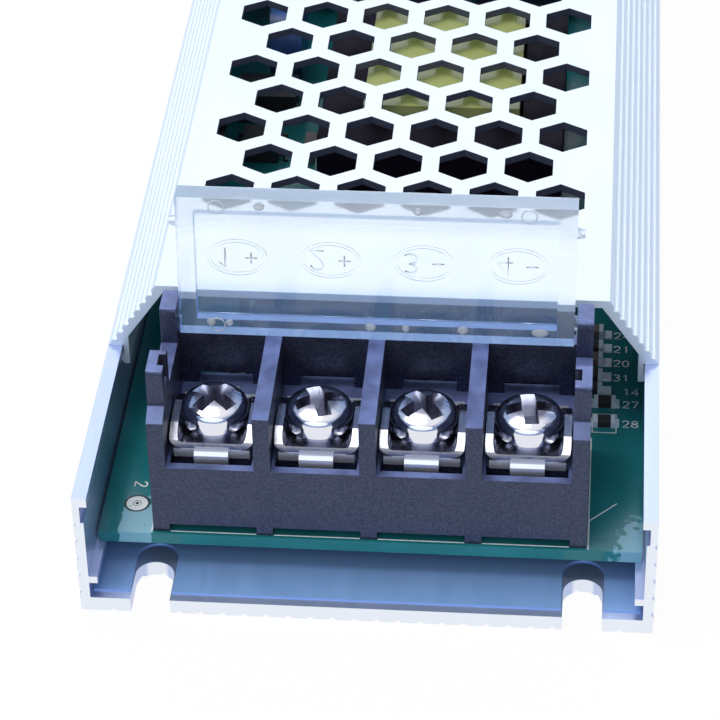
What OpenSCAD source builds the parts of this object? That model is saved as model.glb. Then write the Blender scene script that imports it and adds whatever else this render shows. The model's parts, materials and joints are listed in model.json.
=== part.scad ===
// Slim enclosed power supply: extruded channel, perforated cover, barrier terminal blocks with clear flaps
// Millimetres, +Z up, origin at the middle of the underside; the output end faces -Y, the input end +Y

/* [Channel] */
// Length of the base channel
case_l = 190; // [185:1:260]
// Width over the channel's walls
case_w = 52; // [52:0.5:64]
// Height of the channel's walls
channel_h = 13.1; // [12.6:0.1:14.5]
// Thickness of the channel's floor
floor_t = 1.5; // [1.2:0.1:2]
// Thickness of the channel's walls
wall_t = 0.95; // [0.8:0.05:1.2]
// Pitch of the fine grooves under the floor and on the walls
groove_pitch = 2; // [1.6:0.1:3]
// Depth of those grooves
groove_depth = 0.28; // [0.1:0.02:0.3]
// Mouth of those grooves
groove_w = 0.7; // [0.4:0.05:1]
// Thickness of the inward flange along each wall's top
flange_t = 0.95; // [0.7:0.05:1.2]
// Reach of that flange beyond the wall's inner face
flange_reach = 0.4; // [0.3:0.05:0.6]
// Height of the snap recess under the flange
recess_h = 1.8; // [1.6:0.1:2.4]
// Depth of the snap recess into the wall
recess_depth = 0.3; // [0.1:0.05:0.4]
// Gap from the floor to the board's ledges
ledge_lift = 1.75; // [1.5:0.05:2.5]
// Thickness of the board's ledges
ledge_t = 0.75; // [0.5:0.05:1]
// Reach of the board's ledges
ledge_reach = 0.8; // [0.6:0.05:1.2]
// Width of the open mounting notches in the floor's ends
notch_w = 3.6; // [3:0.1:5]
// Depth of the mounting notches from the channel's end
notch_d = 5.2; // [4:0.1:8]
// Distance of the mounting notches from the outer side
notch_side = 6.4; // [5.5:0.1:9]

/* [Cover] */
// Height of the cover's top above the underside
cover_h = 20.2; // [20.2:0.1:26]
// Thickness of the cover's top
cover_t = 0.8; // [0.6:0.05:1]
// Setback of the cover's ends from the channel's ends
cover_inset = 22.8; // [22:0.1:30]
// Run of each sloping shoulder across the width
shoulder_run = 4.85; // [4:0.05:6]
// Thickness of the shoulders, measured across
shoulder_t = 1.0; // [0.9:0.05:1.3]
// Number of ribs on each shoulder
rib_count = 8; // [5:1:9]
// Depth of the grooves between those ribs
rib_depth = 0.3; // [0.1:0.02:0.34]
// Mouth of the grooves between those ribs
rib_gap = 0.62; // [0.3:0.02:0.7]
// Thickness of the cover's snap lips
lip_t = 0.5; // [0.4:0.05:0.7]
// Drop of the snap lips below the wall's top
lip_drop = 2.1; // [1.9:0.05:2.6]
// Reach of the snap barbs under the flanges
barb_reach = 0.5; // [0.3:0.05:0.6]
// Clearance between the cover's lips and the flanges
snap_gap = 0.1; // [0.05:0.01:0.2]
// Pitch of the hexagonal holes
hex_pitch = 6.45; // [5.5:0.05:9]
// Hexagonal holes across flats
hex_af = 4.75; // [3:0.05:5]
// Plain margin from the cover's ends to the first row's centre
hex_end = 15.8; // [12:0.1:30]
// Plain margin from the shoulders to the outermost holes
hex_side = 2.4; // [1.5:0.1:5]

/* [Board] */
// Thickness of the circuit board
board_t = 1.2; // [0.8:0.1:1.6]
// Clearance of the board's edges to the walls
board_gap = 0.2; // [0.1:0.05:0.3]
// Setback of the board's ends from the channel's ends
board_inset = 5; // [4:0.1:5.2]
// Thickness of the insulating sheet under the board
sheet_t = 0.15; // [0.1:0.05:0.5]
// Setback of that sheet from the channel's ends
sheet_inset = 1; // [0.6:0.1:4]
// Depth of the sheet's slots round the mounting notches, beyond the notches
sheet_slot = 2.4; // [1:0.1:4]
// Lead diameter of the components
lead_d = 0.7; // [0.5:0.05:0.9]
// Lead holes' clearance across the diameter
lead_gap = 0.4; // [0.3:0.05:0.6]
// Length of the leads below the board
lead_out = 0.9; // [0.6:0.1:1.1]

/* [Terminal blocks] */
// Pitch of the poles
pole_pitch = 9.5; // [9.2:0.1:11]
// Thickness of the barriers and end walls
barrier_t = 1.5; // [1.3:0.05:1.8]
// Setback of the blocks from the channel's ends
block_inset = 5.3; // [5.2:0.1:6]
// Depth of the blocks, front to rear
block_d = 14.3; // [14:0.1:16]
// Height of the relief between the blocks' feet
foot_h = 0.9; // [0.5:0.1:1.2]
// Height of the contact floor above the board
seat_h = 7.5; // [7.2:0.1:9]
// Height of the barriers above the contact floor
barrier_h = 5.9; // [5.6:0.1:8]
// Thickness of the rear wall
rear_t = 1.5; // [1.2:0.1:2]
// Width of the window at the foot of the rear wall
window_w = 5.1; // [3:0.1:6]
// Height of that window
window_h = 1.3; // [0.8:0.1:2]
// Depth along Y of the hinge ears
ear_d = 3.4; // [3.2:0.1:4.5]
// Depth along Y of the latch humps
hump_d = 3.6; // [3:0.1:4.5]
// Distance of the latch humps behind the front
hump_set = 1.5; // [1.3:0.1:2]
// Rise of the humps and ears above the pivots
hump_rise = 1.4; // [1.2:0.1:2]
// Radius of the humps' and ears' top corners
hump_r = 0.5; // [0.2:0.05:0.6]
// Drop of the end walls' front corner below the barriers
brow_drop = 0.9; // [0.3:0.1:1.5]

/* [Flaps] */
// Side clearance of the flaps between the end walls
flap_gap = 0.25; // [0.2:0.05:0.4]
// Thickness of a flap over its rim
flap_t = 2.2; // [2:0.1:2.4]
// Thickness of a flap's plate
flap_plate = 1.0; // [0.7:0.1:1.2]
// Width of the raised rim
rim_w = 1.6; // [1.4:0.1:1.7]
// Height of the pivots below the plate's outer face
pivot_drop = 0.75; // [0.75:0.05:0.9]
// Length of the tail behind the pivots
tail_l = 1.6; // [1.2:0.1:1.7]
// Distance of the pivots ahead of the block's rear
pivot_set = 1.4; // [1.3:0.1:1.8]
// Diameter of the hinge pins
pin_d = 1.4; // [1:0.05:1.5]
// Radial clearance of the hinge pins
pin_gap = 0.05; // [0.03:0.01:0.1]
// Length of the hinge pins in the ears
pin_l = 1.05; // [0.8:0.05:1.2]
// Clearance of the tail over the barriers
tail_gap = 0.2; // [0.15:0.05:0.5]
// Setback of the closed flap from the block's front
flap_set = 0.3; // [0.1:0.1:1]
// Diameter of the latch nubs
nub_d = 1.1; // [0.8:0.1:1.4]
// Reach of the latch nubs into the humps
nub_l = 0.7; // [0.5:0.05:0.9]
// Clearance around the latch nubs
nub_gap = 0.15; // [0.1:0.05:0.3]
// Angle of the open output flap from its closed place
flap_open = 95; // [0:1:170]
// Width of the raised ovals on the flaps
oval_w = 5.5; // [4.5:0.1:7]
// Height of the raised ovals
oval_h = 3.7; // [3:0.1:4.5]
// Pitch of the raised ovals
oval_pitch = 8.5; // [7.5:0.1:9.5]
// Stroke of the raised ovals
oval_line = 0.28; // [0.2:0.02:0.4]
// Rise of the raised ovals
oval_rise = 0.15; // [0.1:0.01:0.2]

/* [Clamps] */
// Screw diameter
screw_d = 3; // [2.5:0.1:3.2]
// Radial clearance of the screws in the contact plates
thread_gap = 0.06; // [0.04:0.01:0.1]
// Screw length under the head
screw_l = 6.4; // [5.8:0.1:6.8]
// Screw head diameter
head_d = 6.1; // [5.2:0.1:6.4]
// Screw head height
head_h = 2.45; // [2.2:0.05:2.5]
// Height of the head's upright side
head_side = 1; // [0.8:0.05:1.1]
// Radius of the head's shoulder
head_edge = 0.95; // [0.7:0.05:1]
// Diameter of the spring washer under the head
spring_d = 5; // [4.4:0.1:5]
// Height of that spring washer
spring_h = 0.6; // [0.5:0.05:0.65]
// Split of that spring washer
spring_split = 0.35; // [0.2:0.05:0.5]
// Length of the cross recess
cross_l = 4.6; // [3.6:0.1:5]
// Width of the cross recess
cross_w = 1.3; // [0.9:0.05:1.5]
// Depth of the cross recess
cross_d = 1.7; // [1:0.1:1.8]
// Distance of the screws behind the block's front
screw_set = 5.2; // [5:0.1:5.6]
// Side clearance of the clamp parts between the barriers
clamp_gap = 0.55; // [0.4:0.05:0.8]
// Thickness of the contact plates
contact_t = 0.9; // [0.7:0.05:1]
// Distance of the contact plates behind the block's front
contact_set = 1.75; // [1.7:0.05:1.9]
// Distance of the contact legs behind the block's front
leg_set = 10.3; // [9.8:0.1:10.8]
// Distance of the tongues behind the block's front
tongue_set = 1.15; // [1.1:0.05:1.2]
// Width of the contact plates' front tongues
tongue_w = 3.1; // [2.5:0.1:3.6]
// Thickness of the tongues
tongue_t = 0.55; // [0.45:0.05:0.6]
// Drop of the tongues into the block
tongue_drop = 1.1; // [0.6:0.1:1.6]
// Clearance around the tongues and legs
tongue_gap = 0.35; // [0.2:0.05:0.4]
// Side land of the trough that the tongues hang in
trough_side = 0.3; // [0.2:0.05:0.5]
// Width of the contact legs
leg_w = 3; // [2:0.1:3.6]
// Width of the legs' solder pins
pin_w = 1.2; // [0.8:0.1:1.4]
// Thickness of the clamp washers
washer_t = 0.7; // [0.5:0.05:0.7]
// Depth along Y of the clamp washers
washer_d = 6.8; // [6.4:0.1:7]
// Side clearance of the clamp washers between the barriers
washer_side = 0.15; // [0.1:0.05:0.2]
// Radius of the clamp washers' turned-up sides
curl_r = 1.35; // [1.2:0.05:1.4]
// Height of the clamp washers' turned-up sides
curl_h = 1.6; // [1.5:0.1:2.4]
// Length along Y of the turned-up sides at their top
tab_l = 3.2; // [2:0.1:5]
// Clearance of the screws in the clamp washers
washer_gap = 0.2; // [0.15:0.05:0.3]

/* [Transformer] */
// Width of the transformer's core
core_w = 25; // [22:0.5:27]
// Length of the transformer's core
core_l = 29; // [26:0.5:30]
// Thickness of the core's legs and yokes
core_leg = 4.2; // [3.5:0.1:5]
// Height of the transformer's core
core_h = 9.6; // [8:0.1:10.5]
// Clearance between the core and the coil
coil_gap = 0.3; // [0.2:0.05:0.5]
// Height of the coil
coil_h = 13.2; // [12:0.1:13.4]
// Lift of the core above the board
core_lift = 1.6; // [1.2:0.1:2]
// Offset of the transformer to the right
trafo_x = 3.5; // [2.5:0.5:5]
// Distance of the transformer ahead of the board's middle
trafo_back = 27; // [26:0.5:28]

/* [Capacitors] */
// Diameter of the bulk capacitors
bulk_d = 13; // [10:0.1:13.4]
// Length of the bulk capacitors
bulk_l = 30; // [25:0.5:32]
// Space between the bulk capacitors
bulk_gap = 1; // [0.6:0.1:2]
// Distance of the bulk capacitors behind the board's middle
bulk_set = 2; // [0:0.5:3]
// Diameter of the output capacitors
smooth_d = 8.5; // [8:0.1:8.8]
// Length of the output capacitors
smooth_l = 11.5; // [10:0.5:13]
// Length of the interference capacitor
xcap_l = 17.5; // [15:0.5:18]
// Thickness of the interference capacitor
xcap_t = 7; // [5:0.1:8]
// Height of the interference capacitor
xcap_h = 12.5; // [10:0.1:13]

/* [Power parts] */
// Width of the switching transistors
fet_w = 10; // [8:0.5:11]
// Height of the switching transistors
fet_h = 9; // [7:0.5:10]
// Thickness of the switching transistors
fet_t = 4.4; // [3.5:0.1:5]
// Lift of the switching transistors above the board
fet_lift = 3; // [2:0.1:4]
// Thickness of the aluminium bar
bar_t = 3; // [2:0.1:4]
// Height of the aluminium bar
bar_h = 12; // [10:0.1:13]
// Width of the bridge rectifier
bridge_w = 20; // [16:0.5:22]
// Depth of the bridge rectifier
bridge_d = 12; // [10:0.5:13]
// Thickness of the bridge rectifier
bridge_t = 4; // [3:0.1:5]
// Diameter of the output inductor
ring_d = 18; // [16:0.5:18.5]
// Height of the output inductor
ring_h = 9; // [7:0.5:11]
// Diameter of the output inductor's wire
wire_d = 1.3; // [0.8:0.1:1.4]

/* [Mains parts] */
// Width of the choke's core
choke_w = 18; // [16:0.5:19]
// Length of the choke's core
choke_l = 16; // [14:0.5:17]
// Thickness of the choke's core
choke_bar = 4; // [3:0.1:4.5]
// Height of the choke's windings
choke_h = 12; // [10:0.1:13]
// Length of the fuse between its leads
fuse_l = 14.8; // [13:0.1:16]
// Diameter of the fuse's glass
fuse_d = 3.6; // [3:0.1:4]
// Diameter of the thermistor
ntc_d = 10; // [8:0.1:12]
// Diameter of the varistor
mov_d = 11; // [8:0.1:12]
// Thickness of the thermistor and the varistor
disc_t = 4; // [3:0.1:4.5]
// Diameter of the safety capacitor
ycap_d = 8; // [6:0.1:9]
// Lift of the discs above the board
disc_lift = 1; // [0.5:0.1:1.2]

/* [Hidden] */
$fn = 48;
e = 0.05;
out_poles = 4;
in_poles = 3;
hw = case_w / 2;
inner_x = hw - wall_t;
flange_x = inner_x - flange_reach;
recess_x = inner_x + recess_depth;
ledge_x = inner_x - ledge_reach;
ledge_z = floor_t + ledge_lift;
board_z = ledge_z + ledge_t;
top_z = board_z + board_t;
board_hw = inner_x - board_gap;
board_l = case_l - 2 * board_inset;
cover_l = case_l - 2 * cover_inset;
drawn_l = 144.4;
lay = cover_l / drawn_l;
fit = min(1, lay);
crown_x = hw - shoulder_run;
ceiling_z = cover_h - cover_t;
headroom = ceiling_z - top_z;
row_step = hex_pitch * sqrt(3) / 2;
hex_rows = 2 * floor((cover_l - 2 * hex_end) / row_step / 2) + 1;
hex_cols = floor((2 * crown_x - 2 * hex_side - hex_af) / hex_pitch) + 1;
bottom_grooves = floor((hw - 2) / groove_pitch);
side_grooves = floor((channel_h - 3) / groove_pitch);
seat_z = top_z + seat_h;
barrier_z = seat_z + barrier_h;
rear_y = block_inset + block_d;
pivot_y = rear_y - pivot_set;
rim_drop = flap_t - pivot_drop;
pivot_z = barrier_z + tail_gap + sqrt(tail_l * tail_l + rim_drop * rim_drop);
hump_z = pivot_z + hump_rise;
hump_y = block_inset + hump_set + hump_d / 2;
nub_y = hump_y - pivot_y;
nub_z = flap_t / 2 - rim_drop;
flap_reach = pivot_y - block_inset - flap_set;
screw_y = block_inset + screw_set;
contact_y = block_inset + contact_set;
contact_z = seat_z + contact_t;
washer_z = contact_z + washer_t;
clamp_w = pole_pitch - barrier_t - 2 * clamp_gap;
leg_y = block_inset + leg_set;
tongue_y = block_inset + tongue_set;
lead_z = board_z - lead_out;

function mirrored(p) = concat(p, [for (i = [len(p) - 1 : -1 : 0]) [-p[i][0], p[i][1]]]);
function along(a, b, t) = a + (b - a) * t;
function block_hw(n) = (n * pole_pitch + barrier_t) / 2;
function pole_x(n, i) = (i - (n - 1) / 2) * pole_pitch;

// Places a shape given from the output end, or turned round for the input end
module at_end(rear) {
  rotate([0, 0, rear ? 180 : 0]) translate([0, -case_l / 2, 0]) children();
}

// A profile given across X and Z, drawn out along Y
module run_y(l) {
  translate([0, l / 2, 0]) rotate([90, 0, 0]) linear_extrude(height = l) children();
}

// A profile given along Y and Z, drawn out across X about the middle
module run_x(w) {
  translate([-w / 2, 0, 0]) rotate([90, 0, 90]) linear_extrude(height = w) children();
}

// An upright with rounded top corners, from its foot's corner
module upright(w, h, r) {
  square([w, h - r]);
  translate([r, 0]) square([w - 2 * r, h]);
  translate([r, h - r]) circle(r = r);
  translate([w - r, h - r]) circle(r = r);
}

// Base channel

module base_profile() {
  floor_marks = [for (i = [0 : bottom_grooves - 1]) (i + 0.5) * groove_pitch];
  wall_marks = [for (i = [0 : side_grooves - 1]) 2.2 + i * groove_pitch];
  under = [for (x = floor_marks) each [[x - groove_w / 2, 0], [x, groove_depth], [x + groove_w / 2, 0]]];
  side = [for (z = wall_marks) each [[hw, z - groove_w / 2], [hw - groove_depth, z], [hw, z + groove_w / 2]]];
  inside = [[hw, channel_h], [flange_x, channel_h], [flange_x, channel_h - flange_t],
    [recess_x, channel_h - flange_t], [recess_x, channel_h - flange_t - recess_h],
    [inner_x, channel_h - flange_t - recess_h], [inner_x, board_z], [ledge_x, board_z],
    [ledge_x, ledge_z], [inner_x, ledge_z], [inner_x, floor_t]];
  polygon(mirrored(concat(under, [[hw, 0]], side, inside)));
}

module notch(w, t) {
  translate([0, notch_d - notch_w / 2, -e]) cylinder(h = t + 2 * e, d = w);
  translate([-w / 2, -notch_d, -e]) cube([w, 2 * notch_d - notch_w / 2, t + 2 * e]);
}

module base_channel() {
  color("silver") difference() {
    run_y(case_l) base_profile();
    for (rear = [0, 1], s = [-1, 1]) at_end(rear) translate([s * (hw - notch_side), 0, 0])
      notch(notch_w, floor_t);
  }
}

// Top cover

module cover_profile() {
  a = [crown_x, cover_h];
  b = [hw, channel_h];
  slope = b - a;
  slope_l = norm(slope);
  unit = slope / slope_l;
  inward = [unit[1], -unit[0]] * rib_depth;
  step = slope_l / rib_count;
  ribs = [for (i = [1 : rib_count - 1]) each [a + unit * (i * step - rib_gap / 2),
    a + unit * (i * step - rib_gap / 5) + inward, a + unit * (i * step + rib_gap / 5) + inward,
    a + unit * (i * step + rib_gap / 2)]];
  lip_x = flange_x - snap_gap;
  fall = -unit[1] / unit[0];
  in_x = lip_x - lip_t;
  in_off = shoulder_t / -unit[1];
  in_z = cover_h - (in_x + in_off - crown_x) * fall;
  in_top = crown_x - in_off + cover_t / fall;
  foot_z = channel_h - lip_drop;
  barb_z = channel_h - flange_t - snap_gap;
  barb_x = lip_x + barb_reach;
  foot = [b, [lip_x, channel_h], [lip_x, barb_z], [barb_x, barb_z], [barb_x, barb_z - 0.4],
    [lip_x, foot_z], [in_x, foot_z], [in_x, in_z], [in_top, ceiling_z]];
  polygon(mirrored(concat([a], ribs, foot)));
}

module hex_field() {
  for (r = [0 : hex_rows - 1]) {
    n = r % 2 == 0 ? hex_cols : hex_cols - 1;
    for (c = [0 : n - 1]) {
      x = (c - (n - 1) / 2) * hex_pitch;
      y = (r - (hex_rows - 1) / 2) * row_step;
      translate([x, y, ceiling_z - e]) rotate([0, 0, 30])
        cylinder(h = cover_t + 2 * e, r = hex_af / sqrt(3), $fn = 6);
    }
  }
}

module top_cover() {
  color("gainsboro") difference() {
    run_y(cover_l) cover_profile();
    hex_field();
  }
}

// Board and its sheet

// Places across the length follow the cover's length, and the parts' own lengths shrink with a shorter one
core_y = core_l * fit;
trafo_y = -trafo_back * lay;
pin_y = core_y / 2 - core_leg / 2;
trafo_pins = [for (s = [-1, 1], i = [0 : 3]) [trafo_x + (i - 1.5) * core_w * 0.184, trafo_y + s * pin_y]];
bulk_y0 = bulk_set * lay;
bulk_y1 = bulk_y0 + bulk_l * fit;
bulk_x0 = 3.2;
bulk_x1 = bulk_x0 - (bulk_d + bulk_gap) / 2;
bulk_x2 = bulk_x0 + (bulk_d + bulk_gap) / 2;
bulk_lead_y = bulk_y1 + 2 * fit;
bulk_leads = [for (x = [bulk_x1, bulk_x2], s = [-1, 1]) [x + s * 2.5, bulk_lead_y]];
can_d = smooth_d * fit;
smooth_y = trafo_y - core_y / 2 - 1.2 - can_d / 2;
smooth_x = 4 - smooth_l / 2;
smooth_rows = [for (i = [0 : 2]) [smooth_x - (i > 0 ? 6 : 0), smooth_y - i * (can_d + 1)]];
smooth_leads = [for (p = smooth_rows, s = [-1, 1]) [p[0] - smooth_l / 2 - 1.5, p[1] + s * 1.75]];
coil_d = ring_d * fit;
ring_x = 9;
ring_y = smooth_y - can_d / 2 - 1.8 - coil_d / 2;
ring_leads = [for (s = [-1, 1]) [ring_x + s * 4, ring_y - coil_d / 2 - 0.6]];
fet_x = -13.4;
fet_rows = [bulk_y0 + 5.5 * fit, bulk_y0 + 22.5 * fit];
fet_leads = [for (y = fet_rows, i = [-1, 0, 1]) [fet_x, y + i * 2.54]];
diode_x = 13;
diode_y = smooth_y - 0.3;
diode_w = fet_w * fit;
diode_leads = [for (i = [-1, 0, 1]) [diode_x - 7.6, diode_y + i * 2.54]];
bridge_x = 11.5;
bridge_y = bulk_lead_y + 8.4 * lay;
bridge_y1 = bridge_y + 5.5 * fit;
bridge_leads = [for (i = [-1.5, -0.5, 0.5, 1.5]) [bridge_x + i * bridge_w * 0.23, bridge_y1 + 2.1]];
choke_x = -10.5;
choke_y = bulk_lead_y + 10.4 * lay;
choke_half = (choke_l / 2 + 0.2) * fit;
choke_leads = [for (sx = [-1, 1], sy = [-1, 1]) [choke_x + sx * 6.4, choke_y + sy * (choke_half - 1.1)]];
xcap_x = -10.5;
xcap_d = xcap_t * fit;
xcap_y = choke_y + 10.2 * lay + xcap_d / 2;
xcap_leads = [for (s = [-1, 1]) [xcap_x + s * (xcap_l / 2 - 1.25), xcap_y]];
fuse_x = 18;
fuse_y = bridge_y + 20.6 * lay;
fuse_half = fuse_l / 2 * fit;
fuse_leads = [for (s = [-1, 1]) [fuse_x, fuse_y + s * fuse_half]];
ntc_x = 4.2;
ntc_y = bridge_y + 13.2 * lay;
ntc_leads = [for (s = [-1, 1]) [ntc_x + s * 2.5, ntc_y]];
mov_x = 9.6;
mov_y = ntc_y + 7.4 * lay;
mov_leads = [for (s = [-1, 1]) [mov_x + s * 2.5, mov_y]];
ycap_x = -15;
ycap_y = trafo_y + 16 * lay;
ycap_leads = [for (s = [-1, 1]) [ycap_x, ycap_y + s * 2.5]];
opto_x = -16.6;
opto_y = trafo_y + 8.5 * lay;
opto_leads = [for (sx = [-1, 1], sy = [-1, 1]) [opto_x + sx * 3.8, opto_y + sy * 1.27]];
all_leads = concat(trafo_pins, bulk_leads, smooth_leads, ring_leads, fet_leads, diode_leads, bridge_leads,
  choke_leads, xcap_leads, fuse_leads, ntc_leads, mov_leads, ycap_leads, opto_leads);

module leads(points, z) {
  for (p = points) translate([p[0], p[1], lead_z]) cylinder(h = z - lead_z, d = lead_d);
}

module circuit_board() {
  color("teal") difference() {
    translate([-board_hw, -board_l / 2, board_z]) cube([2 * board_hw, board_l, board_t]);
    for (p = all_leads) translate([p[0], p[1], board_z - e])
      cylinder(h = board_t + 2 * e, d = lead_d + lead_gap);
    at_end(0) contact_holes(out_poles);
    at_end(1) contact_holes(in_poles);
  }
}

module contact_holes(n) {
  for (i = [0 : n - 1]) translate([pole_x(n, i), leg_y + contact_t / 2, board_z - e])
    cylinder(h = board_t + 2 * e, d = norm([pin_w, contact_t]) + lead_gap);
}

module insulation_sheet() {
  l = case_l - 2 * sheet_inset;
  color("lightblue") translate([0, 0, floor_t]) difference() {
    translate([-board_hw, -l / 2, 0]) cube([2 * board_hw, l, sheet_t]);
    for (rear = [0, 1], s = [-1, 1]) at_end(rear) translate([s * (hw - notch_side), sheet_slot, 0])
      notch(notch_w + 0.2, sheet_t);
  }
}

// Terminal blocks

module end_wall_profile() {
  translate([block_inset, top_z]) square([block_d, barrier_z - brow_drop - top_z]);
  polygon([[block_inset, barrier_z - brow_drop - e], [block_inset, barrier_z - brow_drop],
    [block_inset + hump_set, barrier_z], [rear_y, barrier_z], [rear_y, barrier_z - brow_drop - e]]);
  translate([hump_y - hump_d / 2, barrier_z - e]) upright(hump_d, hump_z - barrier_z + e, hump_r);
  translate([rear_y - ear_d, barrier_z - e]) upright(ear_d, hump_z - barrier_z + e, hump_r);
}

module latch_groove() {
  w = nub_d + 2 * nub_gap + 0.2;
  z = pivot_z + nub_z - nub_d / 2 - nub_gap;
  translate([-e, hump_y - w / 2 + 0.1, z]) cube([nub_l + nub_gap - flap_gap + e, w, hump_z - z + e]);
}

module pole_cuts() {
  tw = pole_pitch - barrier_t - 2 * trough_side;
  lw = leg_w + 2 * tongue_gap;
  translate([-tw / 2, tongue_y - tongue_gap, seat_z - tongue_drop - tongue_gap])
    cube([tw, tongue_t + 2 * tongue_gap, tongue_drop + tongue_gap + e]);
  translate([-lw / 2, leg_y - tongue_gap, top_z - e])
    cube([lw, contact_t + 2 * tongue_gap, seat_h + 2 * e]);
  translate([0, screw_y, washer_z - screw_l - 0.4]) cylinder(h = screw_l, d = screw_d + 0.8);
  translate([-window_w / 2, rear_y - rear_t - e, seat_z]) cube([window_w, rear_t + 2 * e, window_h]);
  translate([-(pole_pitch - barrier_t) / 2, block_inset - e, top_z - e])
    cube([pole_pitch - barrier_t, block_d + 2 * e, foot_h + e]);
}

module terminal_block(n) {
  w = 2 * block_hw(n);
  wall_x = block_hw(n) - barrier_t / 2;
  difference() {
    union() {
      translate([-w / 2 + e, block_inset, top_z]) cube([w - 2 * e, block_d, seat_h]);
      translate([-w / 2 + e, rear_y - rear_t, seat_z - e]) cube([w - 2 * e, rear_t, barrier_h + e]);
      for (i = [1 : n - 1]) translate([-w / 2 + i * pole_pitch, block_inset, top_z])
        cube([barrier_t, block_d, barrier_z - top_z]);
      for (s = [-1, 1]) translate([s * wall_x, 0, 0]) run_x(barrier_t) end_wall_profile();
    }
    for (i = [0 : n - 1]) translate([pole_x(n, i), 0, 0]) pole_cuts();
    translate([-w, pivot_y, pivot_z]) rotate([0, 90, 0]) cylinder(h = 2 * w, d = pin_d + 2 * pin_gap);
    for (s = [0, 1]) mirror([s, 0, 0]) translate([block_hw(n) - barrier_t, 0, 0]) latch_groove();
  }
}

module contact() {
  difference() {
    union() {
      translate([-clamp_w / 2, contact_y, seat_z]) cube([clamp_w, leg_y - contact_y - 0.2, contact_t]);
      run_x(tongue_w) polygon([[contact_y + e, contact_z], [tongue_y + 0.3, contact_z],
        [tongue_y, contact_z - 0.3], [tongue_y, seat_z - tongue_drop],
        [tongue_y + tongue_t, seat_z - tongue_drop],
        [tongue_y + tongue_t, contact_z - tongue_t], [contact_y + e, contact_z - tongue_t]]);
      translate([-leg_w / 2, leg_y - 0.3, seat_z]) cube([leg_w, contact_t + 0.3, contact_t]);
      translate([-leg_w / 2, leg_y, top_z + 0.3]) cube([leg_w, contact_t, contact_z - top_z - 0.3]);
      translate([-pin_w / 2, leg_y, lead_z]) cube([pin_w, contact_t, top_z + 0.4 - lead_z]);
    }
    translate([0, screw_y, seat_z - e]) cylinder(h = contact_t + 2 * e, d = screw_d + 2 * thread_gap);
  }
}

module contacts(n) {
  for (i = [0 : n - 1]) translate([pole_x(n, i), 0, 0]) contact();
}

// Clamp washer: a square plate with a tapered tab turned up on both sides
module curl() {
  difference() {
    circle(r = curl_r);
    circle(r = curl_r - washer_t);
    translate([-2 * curl_r, -2 * curl_r]) square([2 * curl_r, 4 * curl_r]);
    translate([-2 * curl_r, 0]) square([4 * curl_r, 2 * curl_r]);
  }
  translate([curl_r - washer_t, -e]) square([washer_t, curl_h - curl_r + e]);
}

module washer() {
  flat = (pole_pitch - barrier_t) / 2 - washer_side - curl_r;
  translate([0, screw_y, contact_z]) difference() {
    intersection() {
      run_y(washer_d) {
        translate([-flat - e, 0]) square([2 * flat + 2 * e, washer_t]);
        for (s = [0, 1]) mirror([s, 0]) translate([flat, curl_r]) curl();
      }
      run_x(pole_pitch)
        polygon(mirrored([[washer_d / 2, 0], [washer_d / 2, 1.3 * washer_t], [tab_l / 2, curl_h]]));
    }
    translate([0, 0, -e]) cylinder(h = washer_t + 2 * e, d = screw_d + 2 * washer_gap);
  }
}

module cross_wing() {
  rotate([90, 0, 0]) translate([0, 0, -cross_w / 2]) linear_extrude(height = cross_w)
    polygon([[-cross_l / 2 - 0.3, 0.4], [-cross_l / 2, 0], [-cross_l / 5, -cross_d], [cross_l / 5, -cross_d],
      [cross_l / 2, 0], [cross_l / 2 + 0.3, 0.4]]);
}

// Half of the head's section: an upright side, a shoulder and a dome that runs into it
module head_section() {
  c = head_d / 2 - head_edge;
  rise = head_h - head_side;
  dome_r = (c * c + rise * rise - head_edge * head_edge) / 2 / (rise - head_edge);
  meet = c * dome_r / (dome_r - head_edge);
  intersection() {
    translate([0, head_h - dome_r]) circle(r = dome_r);
    union() {
      square([head_d / 2, head_side]);
      square([meet, head_h]);
      intersection() {
        translate([c, head_side]) circle(r = head_edge);
        square([head_d, head_h]);
      }
    }
  }
}

module spring_ring() {
  difference() {
    cylinder(h = spring_h + e, d = spring_d);
    rotate([0, 0, 60]) translate([screw_d / 2 + e, -spring_split / 2, -e])
      cube([spring_d, spring_split, spring_h]);
  }
}

module screw(turn) {
  translate([0, screw_y, washer_z]) rotate([0, 0, turn]) {
    spring_ring();
    translate([0, 0, spring_h]) difference() {
      rotate_extrude() head_section();
      for (a = [0, 90]) rotate([0, 0, a]) translate([0, 0, head_h - 0.3]) cross_wing();
    }
    translate([0, 0, -screw_l + 0.5]) cylinder(h = screw_l - 0.5 + e, d = screw_d);
    translate([0, 0, -screw_l]) cylinder(h = 0.5, d1 = screw_d - 0.9, d2 = screw_d);
  }
}

module output_block() {
  color("dimgray") at_end(0) terminal_block(out_poles);
}

module input_block() {
  color("dimgray") at_end(1) terminal_block(in_poles);
}

module output_contacts() {
  color("lightgray") at_end(0) contacts(out_poles);
}

module input_contacts() {
  color("lightgray") at_end(1) contacts(in_poles);
}

module pole_washer(rear, n, i) {
  color("lightgray") at_end(rear) translate([pole_x(n, i), 0, 0]) washer();
}

module pole_screw(rear, n, i, turn) {
  color("white") at_end(rear) translate([pole_x(n, i), 0, 0]) screw(turn);
}

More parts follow.
